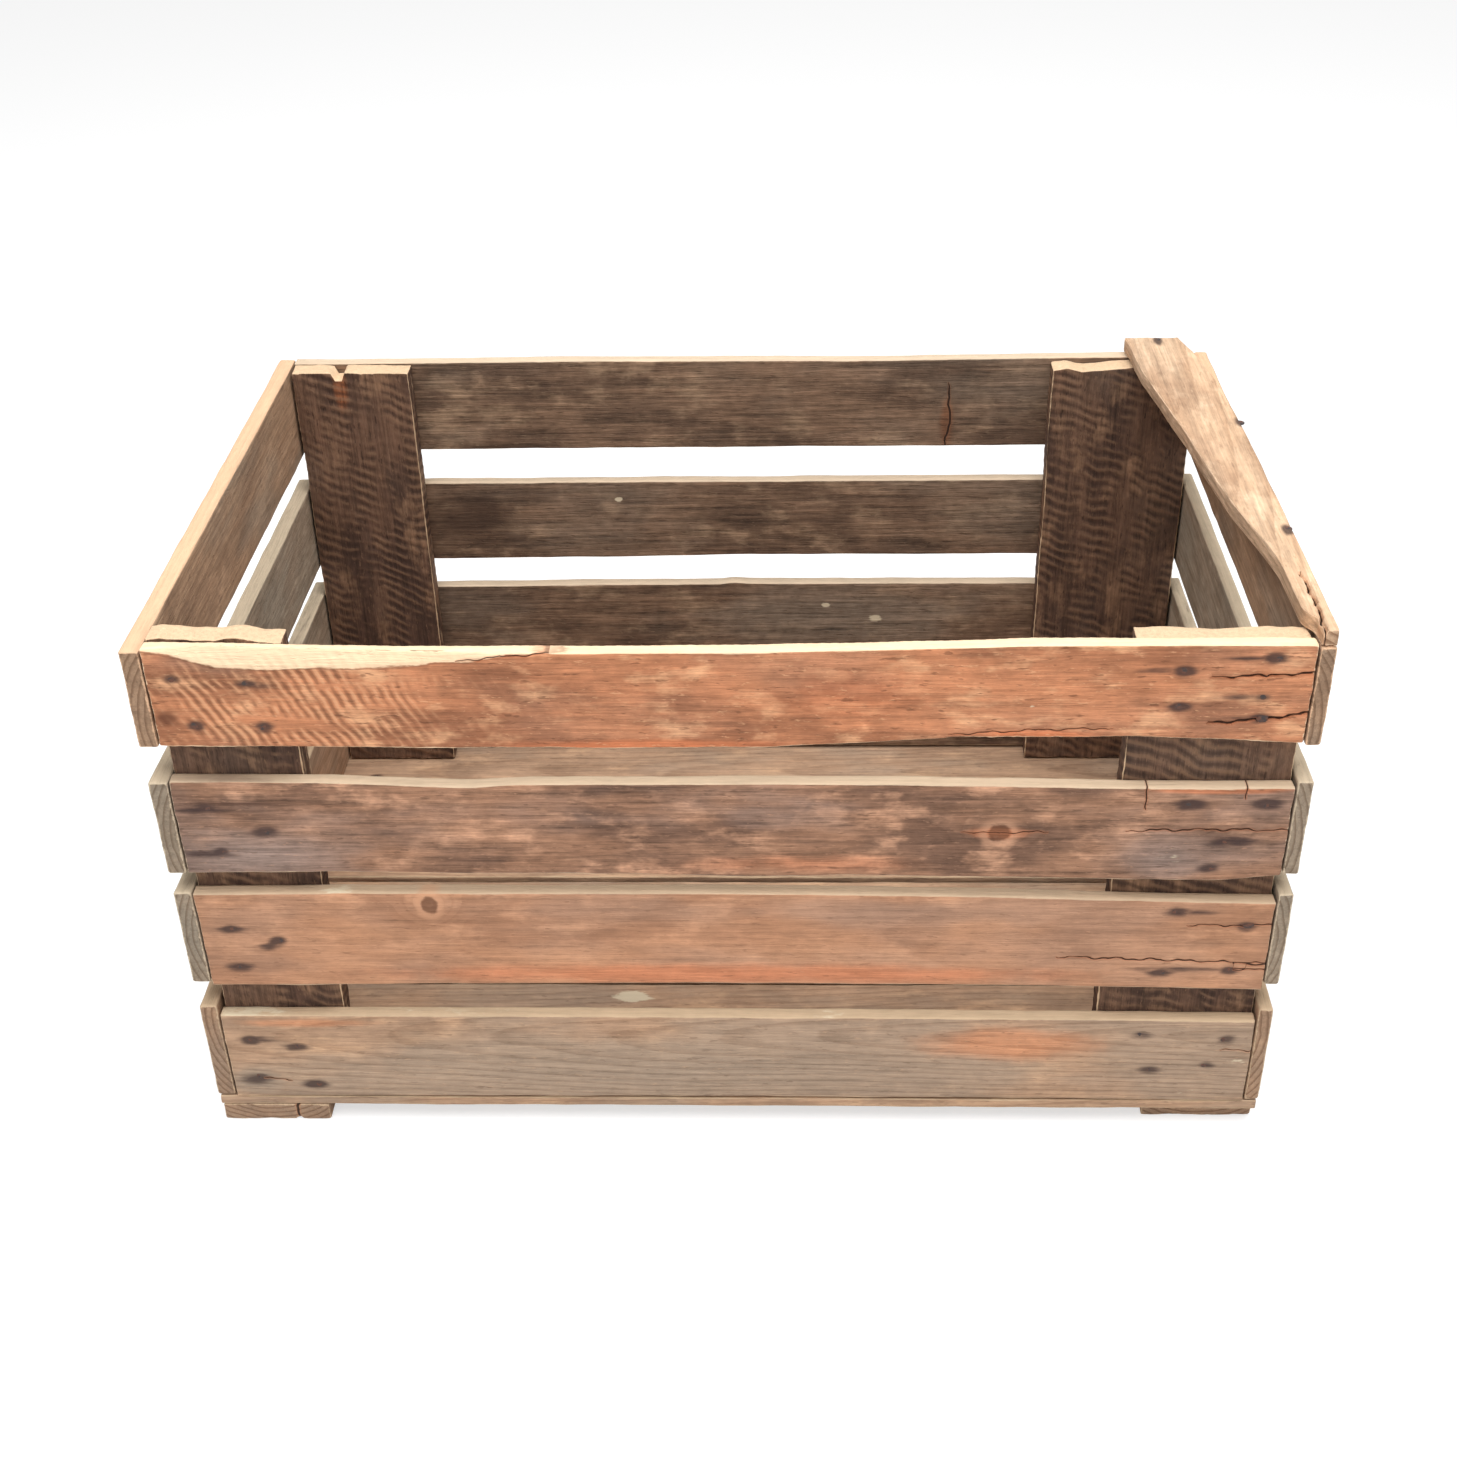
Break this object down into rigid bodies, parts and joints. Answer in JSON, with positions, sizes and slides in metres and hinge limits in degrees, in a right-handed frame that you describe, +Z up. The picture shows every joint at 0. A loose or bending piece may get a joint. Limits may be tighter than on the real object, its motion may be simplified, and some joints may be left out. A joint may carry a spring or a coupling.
{
  "type": "wooden fruit crate",
  "caption": "Old open-topped slatted wooden crate: sawn slats nailed round flat corner boards, a boarded floor on foot battens, and a split rim board on one end.",
  "frame": {"origin": "on the ground, under the middle of the crate's outer box", "axes": "+X along the crate towards the end with the rim board, +Y from the front face towards the back, +Z up"},
  "size_m": [0.578, 0.354, 0.3195],
  "materials": {
    "orange_wood": "bare sawn softwood, aged orange brown, with iron stains round the nails",
    "grey_wood": "bare sawn softwood, weathered grey brown",
    "dark_wood": "bare rough-sawn softwood, dirty dark brown",
    "pale_wood": "bare softwood, pale tan and worn smooth",
    "rusty_iron": "rusty wire nails with flat heads"
  },
  "bodies": {
    "root": {"front_slat_1": "orange_wood", "front_slat_2": "orange_wood", "front_slat_3": "orange_wood", "front_slat_4": "grey_wood", "back_slat_1": "dark_wood", "back_slat_2": "dark_wood", "back_slat_3": "dark_wood", "back_slat_4": "dark_wood", "left_end_slat_1": "orange_wood", "left_end_slat_2": "grey_wood", "left_end_slat_3": "grey_wood", "left_end_slat_4": "grey_wood", "right_end_slat_1": "orange_wood", "right_end_slat_2": "grey_wood", "right_end_slat_3": "grey_wood", "right_end_slat_4": "grey_wood", "front_left_corner_board": "dark_wood", "front_right_corner_board": "dark_wood", "back_left_corner_board": "dark_wood", "back_right_corner_board": "dark_wood", "floor_board_1": "grey_wood", "floor_board_2": "grey_wood", "floor_board_3": "grey_wood", "floor_board_4": "grey_wood", "left_foot_batten": "grey_wood", "right_foot_batten": "grey_wood", "right_rim_board": "pale_wood", "front_left_nails": "rusty_iron", "front_right_nails": "rusty_iron", "back_left_nails": "rusty_iron", "back_right_nails": "rusty_iron", "left_end_nails": "rusty_iron", "right_end_nails": "rusty_iron", "floor_nails": "rusty_iron", "foot_nails": "rusty_iron", "rim_nails": "rusty_iron"}
  },
  "joints": []
}
